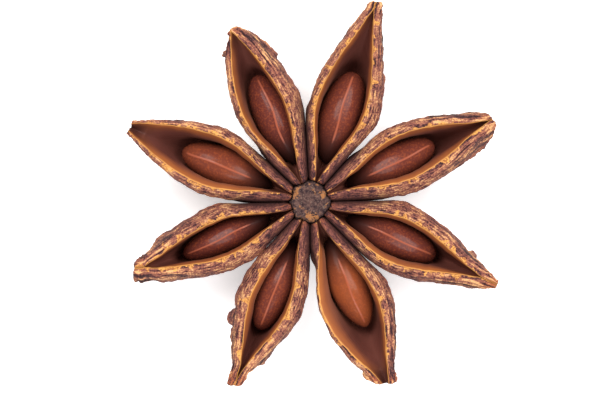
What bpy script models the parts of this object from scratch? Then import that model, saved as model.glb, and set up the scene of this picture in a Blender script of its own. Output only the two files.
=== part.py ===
"""A dried star anise pod lying open side up: eight boat-shaped follicles stand
round a short woody column, and each one holds one seed on edge.

Blender units are metres and +Z is up.  The sizes below are in millimetres.
The origin is the middle of the pod's outline, on the surface that it lies on.

Each follicle is worked out in its own frame: u runs from the pod's axis to the
tip, v runs sideways with the anticlockwise side positive, and z runs up.
"""
from typing import NamedTuple

import bpy
import numpy as np

MM = 0.001

# ---- The pod ---------------------------------------------------------------
AXIS_AT = (-0.20, -0.68)        # the column's axis, seen from the origin
RIM_HEIGHT = 6.9                # rim of the follicles beside the column
RIM_SAG = 0.35                  # how far the rim dips on its way out
BEAK_LIFT = 0.85                # how far the tips turn up
JOINT_GAP = 0.12                # hairline seam between neighbouring pieces

# ---- The follicles ---------------------------------------------------------
FOOT_REACH = 1.70               # inner end of a follicle, against the column
THROAT_REACH = 0.95             # where the lines of the two rims would meet
MOUTH_OVERRUN = 0.4             # the curve of a mouth's edge runs on this far past it
MOUTH_ROUND = 0.8               # length in which the mouth closes
MOUTH_MARGIN = 0.15             # the hollow runs on this far past the mouth
HOLLOW_ROUND = 1.2              # length in which the hollow's outer end rounds up
SLIT = 0.03                     # half width of the seam where the rims are closed
RIM_STEP = 0.05                 # the inner edge of a rim is this much lower
CUT_EDGE = 0.10                 # width of the torn edge along the rim
THIN_LIP = 0.22                 # least distance from the rim to the outside
THIN_WALL = 0.15                # least wall outside a seed
FLOOR_WALL = 1.20               # wall under the hollow
UNDERCUT = 0.15                 # how far the hollow widens under a lip, of the lip's width
THROAT_DEPTH = 3.5              # depth of the hollow between the column and the seed
FORK_DEPTH = 1.4                # depth of the gap in a tip that stayed open
BEAK_SHOAL = 0.5                # share of its depth that the hollow loses in the beak
SEED_ROOM = 11.5                # the hollow is at its full depth up to here

HEEL_RISE = 1.7                 # the keel comes up this far at the column
HEEL_REACH = 5.2                # and is down at this distance
KEEL_TURN = 8.6                 # from here the keel rises towards the tip
KEEL_CURVE = 2.3                # power of that rise
BEAK_DEPTH = 1.3                # height of the beak at its very end
KEEL_FLAT = 0.22                # taken off the keel, for the flat that the pod lies on
KEEL_LEAN = 0.45                # share of the lips' difference that the keel stands off by
LEAN_LENGTH = 4.0               # length in which it does so, from the foot
LEAN_LOST = 0.7                 # share of it that is lost again by the tip
FLOOR_LEAN = 0.8                # the hollow's floor follows the keel by this share

LIP_SHARE = 0.4                 # share of the way from rim to keel that is lip
LIP_DROP = 0.45                 # least drop from the rim to the widest place
LIP_SLANT = 0.75                # and what a wider lip adds to it
LIP_DEPTH = 0.55                # but no further down than this share of the wall
PRESS_START = 0.12              # neighbours are pressed flat from this share of their height
PRESS_DEPTH = 0.25              # down to this one
PRESS_ROUND = 0.5               # and round off below it over this one
PRESS_REACH = 0.70              # fully, as far as this share of where they touch
FILL_REACH = 0.55               # up to this share of it their lips widen to meet
FILL_LENGTH = 0.40              # and over this one they narrow to their own width

WALL_POWER = 1.25               # superellipse power of a wall under no lip
LIP_POWER = 0.95                # what each millimetre of lip adds to it
LIP_POWER_LIMIT = 1.3           # up to a lip this wide
OUTER_POWER_SHARE = 0.85        # the outer wall has this share of the power
OUTER_POWER_MORE = 0.4          # and this much more
OUTER_POWER_LEAST = 1.9
INNER_POWER_LEAST = 2.0
INNER_POWER_LOST = 0.3          # share of the inner wall's power that is lost in the beak

TIP_LONG = 1.9                  # length in which a pointed tip closes
TIP_SHORT = 0.7                 # the same for a square one
TIP_EDGE = 0.25                 # rounding at the very end
TIP_CORNER = 0.35               # share of the width that the end itself keeps
NECK_AT = 1.3                   # the narrowest place of a necked beak, from its end
NECK_WIDTH = 0.8
SKEW_REACH = 3.0                # a slanting end draws this much of the beak with it

STATIONS = 17                   # cross-sections along a follicle
STATION_CROWDING = 0.4          # how much closer they stand towards both ends
SIDE_POINTS = 7                 # points from rim to keel on each side
KEEL_CROWDING = 1.3             # above 1 the points stand closer towards the keel


class Follicle(NamedTuple):
    """One boat.  Widths are at the belly, the widest place of its mouth."""
    bearing: float              # degrees, anticlockwise from +X
    reach: float                # from the axis to the tip
    mouth: float                # from the axis to where the rims close
    belly: float                # from the axis to the widest place
    left: float                 # half width of the mouth, anticlockwise side
    right: float                # and on the clockwise side
    taper: float                # above 1 the mouth runs out hollow-sided
    bow: float                  # sideways bend of the tip
    fork: float                 # half the gap left open at the tip, 0 when closed
    lip_left: float             # how far the wall stands out past the rim
    lip_right: float
    back_left: float            # the same near the tip
    back_right: float
    blunt: float                # 0 is a pointed tip, 1 a square one
    skew: float                 # how much further the tip's left side reaches
    neck: float                 # how much the beak narrows before its end
    contact: float              # how far out it touches the next one anticlockwise
    seed_at: float              # the seed's sideways place
    seed_width: float
    seed_point: float           # 1 is a round outer end, more is a pointed one


FOLLICLES = (
    Follicle(25.7, 17.50, 17.2, 9.3, 1.85, 2.00, 1.5, -0.43, 0.0,
             0.94, 1.22, 0.95, 1.50, 0.6, 0.0, 0.0, 6.4, -0.15, 3.4, 0.92),
    Follicle(72.1, 18.35, 17.7, 8.8, 2.05, 2.16, 1.4, -0.15, 0.0,
             0.69, 1.33, 0.76, 0.82, 0.6, -0.2, 0.1, 8.9, -0.28, 3.8, 0.88),
    Follicle(114.1, 16.65, 16.3, 9.1, 2.20, 1.52, 1.1, 0.24, 0.0,
             0.51, 1.51, 0.60, 1.33, 0.2, -0.5, 0.0, 7.0, -0.20, 3.5, 0.92),
    Follicle(157.7, 17.00, 17.0, 9.5, 2.12, 2.21, 1.2, -0.07, 0.28,
             0.86, 0.84, 0.25, 0.25, 0.3, 0.0, 0.0, 6.8, 0.05, 3.7, 1.00),
    Follicle(204.6, 17.10, 15.9, 8.3, 1.28, 1.86, 1.4, -1.05, 0.0,
             1.32, 1.43, 1.10, 0.85, 0.6, 0.7, 0.0, 5.1, -0.35, 2.9, 0.95),
    Follicle(248.0, 17.30, 16.7, 9.3, 1.74, 1.65, 1.9, -0.11, 0.0,
             1.23, 1.26, 0.80, 0.85, 0.7, -0.3, 0.3, 6.0, 0.05, 3.3, 0.95),
    Follicle(292.9, 17.25, 17.2, 9.7, 2.18, 2.69, 1.5, -0.10, 0.25,
             1.32, 0.16, 0.65, 0.75, 0.8, 0.4, 0.2, 7.7, 0.32, 3.5, 1.15),
    Follicle(336.5, 17.90, 16.4, 8.4, 1.96, 1.96, 1.6, -0.10, 0.0,
             1.36, 0.90, 1.00, 1.20, 0.1, 0.0, 0.0, 6.7, 0.00, 3.4, 0.92),
)

# ---- The seeds -------------------------------------------------------------
SEED_START = 3.6                # inner end of a seed, from the pod's axis
SEED_END = 12.15                # outer end
SEED_MIDDLE = 0.5 * (SEED_START + SEED_END)
SEED_DEPTH = 4.2                # its height, standing on edge
SEED_TOP = 5.75                 # its upper edge, above the surface
SEED_WAIST = SEED_TOP - 0.5 * SEED_DEPTH
SEED_INNER_POINT = 1.40         # 1 is a round inner end, more is a pointed one
SEED_EDGE = 1.15                # 1 is an elliptic section, more a pointed one
WALL_EASE = 0.08                # roundings where two of the outlines cross
RIM_EASE = 0.02
NEST_EASE = 0.10
SEED_GAP = 0.24                 # between a seed and the wall round it
NEST_SHOULDER = 3.0             # fullness of the wall over the seed's waist
SEED_RINGS = 12
SEED_SIDES = 12
SEED_CAP = 0.06                 # share of the length cut off at each end

# ---- The column ------------------------------------------------------------
COLUMN_FLAT = FOOT_REACH - JOINT_GAP    # from its axis to each of its flats
COLUMN_TOP = 6.95
COLUMN_BOTTOM = 1.35
COLUMN_SCAR = 0.95              # radius of the flat scar that the stalk left
COLUMN_CHAMFER = 0.2            # round its top
COLUMN_SIDES = 32

FOLLICLE_CREASE = 50.0          # degrees from which an edge shades sharp
SEED_CREASE = 60.0


def smooth_step(x):
    """0 below 0, 1 above 1, and 3x^2 - 2x^3 between."""
    x = np.clip(x, 0.0, 1.0)
    return x * x * (3.0 - 2.0 * x)


def soft_least(a, b, rounding):
    """The lesser of a and b, with the corner where they cross rounded off."""
    return 0.5 * (a + b - np.sqrt((a - b) ** 2 + rounding ** 2))


def quarter_round(x):
    """A quarter circle: 1 at x = 0, falling to 0 at x = 1."""
    return np.sqrt(1.0 - np.clip(x, 0.0, 1.0) ** 2)


def rim_height(follicle, u):
    """A shallow sag between the column and a tip that turns up."""
    x = u / follicle.reach
    return RIM_HEIGHT - RIM_SAG * np.sin(np.pi * x) + BEAK_LIFT * x ** 3


def keel_height(follicle, u):
    """Down on the surface in the middle, up at the heel and at the beak."""
    heel = np.clip((HEEL_REACH - u) / (HEEL_REACH - FOOT_REACH), 0.0, 1.0)
    beak = np.clip((u - KEEL_TURN) / (follicle.reach - KEEL_TURN), 0.0, 1.0)
    beak_rise = rim_height(follicle, follicle.reach) - BEAK_DEPTH
    return HEEL_RISE * heel ** 2 + beak_rise * beak ** KEEL_CURVE - KEEL_FLAT


def mouth_half_width(follicle, width, u):
    """A leaf's edge: a raised cosine out to the belly, a cosine to a power beyond."""
    rising = 0.5 - 0.5 * np.cos(np.pi * np.clip(
        (u - THROAT_REACH) / (follicle.belly - THROAT_REACH), 0.0, 1.0))
    leaf_end = follicle.mouth + MOUTH_OVERRUN
    outward = np.clip((u - follicle.belly) / (leaf_end - follicle.belly), 0.0, 1.0)
    falling = np.cos(0.5 * np.pi * outward) ** follicle.taper
    closing = quarter_round(1.0 - (follicle.mouth - u) / MOUTH_ROUND)
    leaf = width * np.where(u < follicle.belly, rising, falling) * closing
    return leaf + SLIT + follicle.fork * smooth_step(outward)


def tip_share(follicle, u):
    """Share of a lip's width that is left near the tip.  A pointed tip runs straight
    in, a square one rounds off, and a neck narrows either before its end."""
    to_end = follicle.reach - u
    length = TIP_LONG + (TIP_SHORT - TIP_LONG) * follicle.blunt
    left = np.clip(to_end / length, 0.0, 1.0)
    closing = follicle.blunt * quarter_round(1.0 - left) + (1.0 - follicle.blunt) * left
    share = follicle.blunt + (1.0 - follicle.blunt) * closing
    neck = 1.0 - follicle.neck * np.exp(-((to_end - NECK_AT) / NECK_WIDTH) ** 2)
    corner = TIP_CORNER + (1.0 - TIP_CORNER) * quarter_round(1.0 - to_end / TIP_EDGE)
    return share * neck * corner


def nest_size(follicle, u):
    """Size of the section through the seed grown by its gap, 1 where it is largest."""
    share = (u - SEED_START + SEED_GAP) / (SEED_END - SEED_START + 2.0 * SEED_GAP)
    along = np.arccos(1.0 - 2.0 * np.clip(share, 0.0, 1.0))
    return np.sin(along) ** np.where(along < 0.5 * np.pi, SEED_INNER_POINT, follicle.seed_point)


def nest_half_width(follicle, u, z):
    """Half the width of the grown seed at each u and z: the seed's own section below
    its waist, and a fuller one above it."""
    size = nest_size(follicle, u)[:, None]
    above = (z - SEED_WAIST) / np.maximum((0.5 * SEED_DEPTH + SEED_GAP) * size, SLIT)
    power = np.where(above > 0.0, NEST_SHOULDER, 2.0 / SEED_EDGE)
    return ((0.5 * follicle.seed_width + SEED_GAP) * size
            * np.sqrt(1.0 - np.clip(np.abs(above), 0.0, 1.0) ** power))


def hollow_depth(follicle, u, rim_z, keel_z):
    """Depth of the hollow below the rim: steeply down from the column to the seed,
    then as deep as the seed needs, then a floor that shoals in the beak."""
    throat = THROAT_DEPTH * np.sqrt(smooth_step((u - FOOT_REACH) / (SEED_START - FOOT_REACH)))
    nest = rim_z - SEED_WAIST + (0.5 * SEED_DEPTH + SEED_GAP) * nest_size(follicle, u)
    inward = np.where(u > SEED_START - SEED_GAP, np.maximum(throat, nest), throat)
    outward = rim_z - np.maximum(keel_z + FLOOR_WALL, SEED_TOP - SEED_DEPTH - SEED_GAP)
    shoaling = ((1.0 - BEAK_SHOAL * smooth_step((u - SEED_ROOM) / (follicle.mouth - SEED_ROOM)))
                * quarter_round(1.0 - (follicle.mouth + MOUTH_MARGIN - u) / HOLLOW_ROUND))
    return np.where(u < SEED_MIDDLE, inward, outward) * shoaling


def side_curves(follicle, side, neighbour, u, way):
    """Outer and inner wall of one side, as arrays over u and over the way down.

    The lip is a quarter ellipse from the rim out to the widest place.  From there
    the outer wall is a superellipse down to the keel, pressed flat against the
    next follicle as far out as the two touch.  The inner wall is another
    superellipse from the rim down to the floor of the hollow, kept clear of the
    seed.  A thin lip goes with a wall that slopes in, a thick one with a wall that
    drops steeply.
    """
    half_wedge, contact = neighbour
    lip = follicle.lip_left if side > 0 else follicle.lip_right
    back = follicle.back_left if side > 0 else follicle.back_right
    mouth = follicle.left if side > 0 else follicle.right
    beyond = np.clip((u - follicle.belly) / (follicle.reach - follicle.belly), 0.0, 1.0)
    middle = side * follicle.bow * beyond ** 1.5
    lean = side * KEEL_LEAN * (follicle.lip_left - follicle.lip_right)
    lean = lean * smooth_step((u - FOOT_REACH) / LEAN_LENGTH) * (1.0 - LEAN_LOST * beyond)

    rim_z = rim_height(follicle, u)
    keel_z = keel_height(follicle, u)
    free_rim = middle + mouth_half_width(follicle, mouth, u)
    band = np.maximum((lip + (back - lip) * beyond) * tip_share(follicle, u), THIN_LIP)
    wedge = u * np.tan(half_wedge) - 0.5 * JOINT_GAP / np.cos(half_wedge)
    apart = smooth_step((u / contact - FILL_REACH) / FILL_LENGTH)
    filled = np.maximum(free_rim + band, wedge)
    wall_v = soft_least(filled + (free_rim + band - filled) * apart, wedge, WALL_EASE)
    rim_v = soft_least(free_rim, wall_v - CUT_EDGE, RIM_EASE)
    band = wall_v - rim_v
    widest_z = rim_z - np.minimum(LIP_DROP + LIP_SLANT * band, LIP_DEPTH * (rim_z - keel_z))

    def by_row(values):
        return values[:, None]

    around_lip = 0.5 * np.pi * np.clip(way / LIP_SHARE, 0.0, 1.0)
    down_wall = 0.5 * np.pi * np.clip((way - LIP_SHARE) / (1.0 - LIP_SHARE), 0.0, 1.0)
    steep = WALL_POWER + LIP_POWER * min(lip, LIP_POWER_LIMIT)
    outer_power = max(OUTER_POWER_SHARE * steep + OUTER_POWER_MORE, OUTER_POWER_LEAST)
    edge_v = rim_v + CUT_EDGE
    lip_v = by_row(edge_v) + by_row(wall_v - edge_v) * np.sin(around_lip)
    lip_z = by_row(rim_z) - by_row(rim_z - widest_z) * (1.0 - np.cos(around_lip))
    shrink = np.cos(down_wall) ** (2.0 / outer_power)
    drop = np.sin(down_wall) ** (2.0 / outer_power)
    low_v = by_row(middle + lean) + by_row(wall_v - middle - lean) * shrink
    pressed = by_row(1.0 - smooth_step((u / contact - PRESS_REACH) / (1.0 - PRESS_REACH)))
    pressed = pressed * smooth_step(drop / PRESS_START)
    pressed = pressed * (1.0 - smooth_step((drop - PRESS_DEPTH) / PRESS_ROUND))
    low_v = low_v + np.maximum(by_row(wedge) - low_v, 0.0) * pressed
    low_z = by_row(widest_z) - by_row(widest_z - keel_z) * drop
    outer_v = np.where(way < LIP_SHARE, lip_v, low_v)
    outer_z = np.maximum(np.where(way < LIP_SHARE, lip_z, low_z), 0.0)

    turn = 0.5 * np.pi * way
    inner_power = steep * (1.0 - INNER_POWER_LOST * smooth_step(beyond / 0.8))
    inner_power = by_row(np.maximum(inner_power, INNER_POWER_LEAST))
    open_end = FORK_DEPTH * smooth_step(beyond) * (follicle.fork > 0.0)
    hollow = np.maximum(hollow_depth(follicle, u, rim_z, keel_z), open_end) + RIM_STEP
    inner_z = by_row(rim_z - RIM_STEP) - by_row(hollow) * np.sin(turn) ** (2.0 / inner_power)
    floor_v = middle + FLOOR_LEAN * lean
    undercut = by_row(UNDERCUT * band * smooth_step((u - 3.0) / 2.0)) * np.sin(np.pi * way) ** 2
    inner_v = (by_row(floor_v) + undercut * np.cos(turn)
               + by_row(rim_v - floor_v) * np.cos(turn) ** (2.0 / inner_power))
    nest = nest_half_width(follicle, u, inner_z)
    nest_v = np.minimum(side * follicle.seed_at + nest, by_row(wall_v) - THIN_WALL)
    inner_v = np.where(nest > 0.0, -soft_least(-inner_v, -nest_v, NEST_EASE), inner_v)
    return (side * outer_v, outer_z), (side * inner_v, inner_z)


def follicle_sheets(follicle, neighbours, u):
    """Outer and inner sheet of a follicle as (station, point, u v z) arrays.

    Both run from the left rim under the boat to the right rim, with the keel
    or the floor line in the middle, so point i of one faces point i of the other.
    """
    way = 1.0 - (1.0 - np.linspace(0.0, 1.0, SIDE_POINTS)) ** KEEL_CROWDING
    left = side_curves(follicle, 1.0, neighbours[0], u, way)
    right = side_curves(follicle, -1.0, neighbours[1], u, way)
    slanting = follicle.skew * smooth_step((u - follicle.reach + SKEW_REACH) / SKEW_REACH)
    sheets = []
    for (left_v, left_z), (right_v, right_z) in zip(left, right):
        v = np.concatenate([left_v, right_v[:, -2::-1]], axis=1)
        z = np.concatenate([left_z, right_z[:, -2::-1]], axis=1)
        sheets.append(np.stack([u[:, None] + slanting[:, None] * v, v, z], axis=2))
    return sheets


def into_pod(points, bearing):
    """From a follicle's own u, v, z to the pod's x, y, z."""
    turn = np.radians(bearing)
    u, v, z = points[..., 0], points[..., 1], points[..., 2]
    x = AXIS_AT[0] + u * np.cos(turn) - v * np.sin(turn)
    y = AXIS_AT[1] + u * np.sin(turn) + v * np.cos(turn)
    return np.stack([x, y, z], axis=-1)


def shell_faces(rows, cols):
    """Quads of a boat: outer sheet, inner sheet, the two rims and the two ends."""
    outer = np.arange(rows * cols).reshape(rows, cols)
    inner = outer + rows * cols

    def quads(a, b, c, d):
        return np.stack([a.ravel(), b.ravel(), c.ravel(), d.ravel()], axis=1).tolist()

    faces = quads(outer[:-1, :-1], outer[1:, :-1], outer[1:, 1:], outer[:-1, 1:])
    faces += quads(inner[:-1, :-1], inner[:-1, 1:], inner[1:, 1:], inner[1:, :-1])
    faces += quads(outer[:-1, 0], inner[:-1, 0], inner[1:, 0], outer[1:, 0])
    faces += quads(outer[:-1, -1], outer[1:, -1], inner[1:, -1], inner[:-1, -1])
    faces += quads(outer[0, :-1], outer[0, 1:], inner[0, 1:], inner[0, :-1])
    faces += quads(outer[-1, :-1], inner[-1, :-1], inner[-1, 1:], outer[-1, 1:])
    return faces


def ball_faces(rows, cols):
    """Quads of a ringed body, with the first and the last ring closed by one face."""
    ring = np.arange(rows * cols).reshape(rows, cols)
    after = np.roll(ring, -1, axis=1)
    faces = np.stack([ring[:-1], after[:-1], after[1:], ring[1:]], axis=2)
    return (faces.reshape(-1, 4).tolist()
            + [ring[0][::-1].tolist(), ring[-1].tolist()])


def make_material(name, colour, roughness):
    material = bpy.data.materials.new(name)
    material.use_nodes = True
    shader = material.node_tree.nodes["Principled BSDF"]
    shader.inputs["Base Color"].default_value = (*colour, 1.0)
    shader.inputs["Roughness"].default_value = roughness
    shader.inputs["Metallic"].default_value = 0.0
    return material


def make_piece(name, points, faces, material, crease_degrees):
    mesh = bpy.data.meshes.new(name)
    mesh.from_pydata((points.reshape(-1, 3) * MM).tolist(), [], faces)
    mesh.shade_smooth()
    mesh.set_sharp_from_angle(angle=np.radians(crease_degrees))
    mesh.materials.append(material)
    piece = bpy.data.objects.new(name, mesh)
    bpy.context.scene.collection.objects.link(piece)
    return piece


def follicle_stations(follicle):
    """Distances of the cross-sections, closer together towards both ends."""
    even = np.linspace(0.0, 1.0, STATIONS)
    eased = even + STATION_CROWDING * (0.5 - 0.5 * np.cos(np.pi * even) - even)
    return FOOT_REACH + (follicle.reach - FOOT_REACH) * eased


def neighbours_of(number):
    """For the left and the right side: half the angle to the next follicle, in
    radians, and how far out the two touch."""
    own, right = FOLLICLES[number], FOLLICLES[number - 1]
    left = FOLLICLES[(number + 1) % len(FOLLICLES)]
    to_left = np.radians((left.bearing - own.bearing) % 360.0 / 2.0)
    to_right = np.radians((own.bearing - right.bearing) % 360.0 / 2.0)
    return (to_left, own.contact), (to_right, right.contact)


def make_follicle(number, follicle, material):
    outer, inner = follicle_sheets(follicle, neighbours_of(number), follicle_stations(follicle))
    rows, cols = outer.shape[:2]
    points = into_pod(np.concatenate([outer.reshape(-1, 3), inner.reshape(-1, 3)]),
                      follicle.bearing)
    make_piece(f"follicle_{number + 1}", points, shell_faces(rows, cols), material,
               FOLLICLE_CREASE)


def make_seed(number, follicle, material):
    """An egg on edge: rings along u whose size is a power of a sine, each ring a
    superellipse a little pointed at the top, where the seed has its ridge."""
    along = np.linspace(SEED_CAP, 1.0 - SEED_CAP, SEED_RINGS)[:, None] * np.pi
    power = np.where(along < 0.5 * np.pi, SEED_INNER_POINT, follicle.seed_point)
    size = np.sin(along) ** power
    around = np.linspace(0.0, 2.0 * np.pi, SEED_SIDES, endpoint=False)[None, :]
    u = SEED_MIDDLE - 0.5 * (SEED_END - SEED_START) * np.cos(along)
    v = follicle.seed_at + 0.5 * follicle.seed_width * size * np.sin(around)
    pointed = np.sign(np.cos(around)) * np.abs(np.cos(around)) ** SEED_EDGE
    z = SEED_WAIST + 0.5 * SEED_DEPTH * size * pointed
    points = np.stack([u + 0.0 * v, v, z], axis=2)
    faces = [face[::-1] for face in ball_faces(SEED_RINGS, SEED_SIDES)]
    make_piece(f"seed_{number + 1}", into_pod(points, follicle.bearing), faces, material,
               SEED_CREASE)


def make_column(material):
    """A plug with one flat facing each follicle: its radius in a direction is that
    of the flat which faces that way.  Below it rounds in to the scar of the stalk."""
    profile = ((COLUMN_BOTTOM, COLUMN_SCAR), (COLUMN_BOTTOM + 0.15, COLUMN_FLAT - 0.43),
               (COLUMN_BOTTOM + 0.6, COLUMN_FLAT - 0.13), (COLUMN_BOTTOM + 1.3, COLUMN_FLAT),
               (COLUMN_TOP - 0.25, COLUMN_FLAT), (COLUMN_TOP - 0.05, COLUMN_FLAT - COLUMN_CHAMFER),
               (COLUMN_TOP, 0.5))
    around = np.linspace(0.0, 2.0 * np.pi, COLUMN_SIDES, endpoint=False)
    bearings = np.radians([follicle.bearing for follicle in FOLLICLES])
    facing = np.cos(around[:, None] - bearings[None, :]).max(axis=1)
    rings = [np.stack([radius / facing * np.cos(around), radius / facing * np.sin(around),
                       np.full_like(around, height)], axis=1) for height, radius in profile]
    points = np.array(rings) + np.array([*AXIS_AT, 0.0])
    make_piece("column", points, ball_faces(len(profile), COLUMN_SIDES), material,
               FOLLICLE_CREASE)


def clear_scene():
    for old in list(bpy.data.objects):
        bpy.data.objects.remove(old, do_unlink=True)


def main():
    clear_scene()
    husk = make_material("husk", (0.150, 0.062, 0.034), 0.72)
    seed_coat = make_material("seed_coat", (0.220, 0.050, 0.020), 0.25)
    column_wood = make_material("column_wood", (0.130, 0.085, 0.065), 0.90)
    for number, follicle in enumerate(FOLLICLES):
        make_follicle(number, follicle, husk)
        make_seed(number, follicle, seed_coat)
    make_column(column_wood)


main()
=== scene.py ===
"""The finished look of a dried star anise pod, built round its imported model.

Every piece is worked out in millimetres in a follicle's own frame: u runs from
the pod's axis to the tip, v runs sideways with the anticlockwise side positive,
and z runs up from the surface that the pod lies on.
"""
from typing import NamedTuple

import bpy
import numpy as np
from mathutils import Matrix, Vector


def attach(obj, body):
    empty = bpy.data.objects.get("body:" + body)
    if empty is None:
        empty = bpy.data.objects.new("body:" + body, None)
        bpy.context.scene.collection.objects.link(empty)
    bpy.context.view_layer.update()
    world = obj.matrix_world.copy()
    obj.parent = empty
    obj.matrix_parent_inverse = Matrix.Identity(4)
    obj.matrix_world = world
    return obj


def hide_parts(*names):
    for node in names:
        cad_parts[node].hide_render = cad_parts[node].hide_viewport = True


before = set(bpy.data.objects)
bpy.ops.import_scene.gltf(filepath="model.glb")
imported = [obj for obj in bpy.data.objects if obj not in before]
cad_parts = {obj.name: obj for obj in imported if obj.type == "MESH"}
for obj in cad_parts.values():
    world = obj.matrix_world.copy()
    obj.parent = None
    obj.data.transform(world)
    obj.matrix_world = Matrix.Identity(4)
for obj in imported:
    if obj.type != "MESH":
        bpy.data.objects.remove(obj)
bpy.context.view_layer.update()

bl_info = {
    "name": "Star anise pod",
    "version": (1, 0, 0),
    "blender": (4, 5, 0),
    "location": "3D View > Sidebar > Star anise",
    "description": "Builds the husk, the seeds and the column of a star anise pod, and its stage",
    "category": "Add Mesh",
}

MM = 0.001
TINY = 1e-9
BODY = "root"

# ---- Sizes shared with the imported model, in millimetres ----------------------
AXIS_AT = (-0.20, -0.68)  # the column's axis, seen from the origin
RIM_HEIGHT = 6.9
RIM_SAG = 0.35
BEAK_LIFT = 0.85
FOOT_REACH = 1.70         # inner end of a follicle, against the column
THROAT_REACH = 0.95       # where the curves of the two rims would meet
MOUTH_OVERRUN = 0.4       # the mouth's curve runs on past its end
MOUTH_ROUND = 0.8
MOUTH_MARGIN = 0.15       # the hollow ends this far past the mouth
HOLLOW_ROUND = 1.2
SLIT = 0.03               # half width of the mouth where the rims are closed
RIM_STEP = 0.05           # the inner edge of a rim is this much lower
CUT_EDGE = 0.10           # width of the torn edge along the rim
THIN_LIP = 0.22
THIN_WALL = 0.15          # least wall outside a seed
FLOOR_WALL = 1.20
UNDERCUT = 0.15           # widening of the hollow under a lip, as a share of it
THROAT_DEPTH = 3.5        # of the hollow between the column and the seed
FORK_DEPTH = 1.4          # where a tip stayed open
SEED_ROOM = 11.5          # from here the hollow shoals
BEAK_SHOAL = 0.5          # by this share of its depth
HEEL_RISE = 1.7
HEEL_REACH = 5.2
KEEL_TURN = 8.6           # from here the keel rises towards the tip
KEEL_CURVE = 2.3          # as this power of the distance
BEAK_DEPTH = 1.3          # of the whole beak at its very end
KEEL_FLAT = 0.22          # cut off the keel, for the pod to lie on
KEEL_LEAN = 0.45          # the keel stands off by this share of the lips' difference
LEAN_LENGTH = 4.0
LEAN_LOST = 0.7           # and by this share less at the tip
FLOOR_LEAN = 0.8          # the hollow's floor goes with it by this share
LIP_SHARE = 0.4           # share of the way from rim to keel that is lip
LIP_DROP = 0.45           # from the rim to the widest place
LIP_SLANT = 0.75          # and this much more for each millimetre of lip
LIP_DEPTH = 0.55          # but no more than this share of the wall
PRESS_START = 0.12        # shares of the wall's height where it is pressed flat:
PRESS_DEPTH = 0.25        # from, down to, and eased over
PRESS_ROUND = 0.5
PRESS_REACH = 0.70        # and of the distance out to where neighbours part
FILL_REACH = 0.55         # up to this share of it the lips widen till they meet
FILL_LENGTH = 0.40
WALL_POWER = 1.25         # superellipse power of a wall with no lip
LIP_POWER = 0.95          # and what each millimetre of lip adds
LIP_POWER_LIMIT = 1.3
OUTER_POWER_SHARE = 0.85
OUTER_POWER_MORE = 0.4
OUTER_POWER_LEAST = 1.9
INNER_POWER_LEAST = 2.0
INNER_POWER_LOST = 0.3    # share that the inner wall loses in the beak
TIP_LONG = 1.9            # rounding of a pointed tip
TIP_SHORT = 0.7           # and of a square one
TIP_EDGE = 0.25
TIP_CORNER = 0.35         # share of its width that the very end keeps
SKEW_REACH = 3.0
NECK_AT = 1.3
NECK_WIDTH = 0.8
WALL_EASE = 0.08          # roundings where two outlines cross
RIM_EASE = 0.02
NEST_EASE = 0.10
SEED_START = 3.6
SEED_END = 12.15
SEED_MIDDLE = 0.5 * (SEED_START + SEED_END)
SEED_DEPTH = 4.2
SEED_TOP = 5.75
SEED_WAIST = SEED_TOP - 0.5 * SEED_DEPTH
SEED_EDGE = 1.15          # 1 is an elliptic section, more a pointed one
SEED_INNER_POINT = 1.40   # 1 is a round inner end, more a pointed one
NEST_SHOULDER = 3.0       # fullness of the hollow above a seed's waist
COLUMN_TOP = 6.95
COLUMN_BOTTOM = 1.35
COLUMN_SCAR = 0.95        # radius of the flat underside

# ---- Sizes of the fine surface, in millimetres -------------------------------
STATIONS = 200            # cross-sections along a follicle
STATION_CROWDING = 0.4    # how much closer they stand at both ends
SIDE_POINTS = 96          # points from rim to keel on each side
SEED_GAP = 0.13           # between a seed and its husk
OPEN_FROM = 3.0           # nearer the axis the rims are even
SEAM_LENGTH = 1.5         # by the column the rims only leave a seam
SEAM_DEPTH = 0.5
SEAM_SINK = 0.18
FOOT_ROUND = 0.40         # rounding of a follicle's inner end
FOOT_DROP = 0.25
FOOT_PINCH = 0.14
RIM_WAVE = 0.05
LIP_WAVE = 0.10           # as a share of the lip
HOLLOW_LEAST = 0.06
BARE_DEPTH = 0.7          # how soon the slope inside a rim steepens
BARE_LIMIT = 0.4          # its most, as a share of the mouth
RIDGE_LEAST = 0.020       # height of the skin's ridges at the rim
RIDGE_MORE = 0.075        # what they gain towards the tip or down the wall
LUMP_LEAST = 0.045
LUMP_MORE = 0.03
SWELL_HEIGHT = 0.06
BEAK_ROUGHNESS = 0.14
SKIN_SINK = 0.015         # the skin's middle level, inside the plain form
LINING_SWELL = 0.040
LINING_GRAIN = 0.012
CRACK_SHIFT = 0.12        # unevenness of the crack round the column
CRACK_WIDTH = 0.8
SEED_RINGS = 100
SEED_SIDES = 96
SEED_CAP = 0.012          # share of the length cut off at each end
SEED_DIMPLE = 0.02        # unevenness, as a share
CREST_WIDTH = 0.070       # of the line along its upper edge, as a share
CREST_HEIGHT = 0.028
COLUMN_SIDES = 192
COLUMN_RINGS = (30, 60)   # up the side, and over the edge and the top
COLUMN_PATCHES = (        # x and y from the axis, and size
    (-0.05, -1.20, 0.70), (0.35, 1.00, 0.40), (1.10, 0.55, 0.35), (-1.1, 0.8, 0.30))

# ---- The stage, in millimetres and watts -------------------------------------
FLOOR_REACH = 600.0
VIEW_CENTRE = (-0.525, -0.875)  # the camera looks straight down on it
LIGHT_AIM = (0.0, 0.0, 5.0)
LIGHTS = (                # name, place, size, power and colour
    ("key", (-110, 150, 290), 190, 1.0, (1.0, 0.98, 0.95)),
    ("right", (170, 90, 250), 180, 0.7, (1.0, 0.99, 0.98)),
    ("low", (20, -210, 210), 180, 0.5, (0.98, 0.99, 1.0)))
SKY_STRENGTH = 0.36
SENSOR_WIDTH = 36.0


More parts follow.
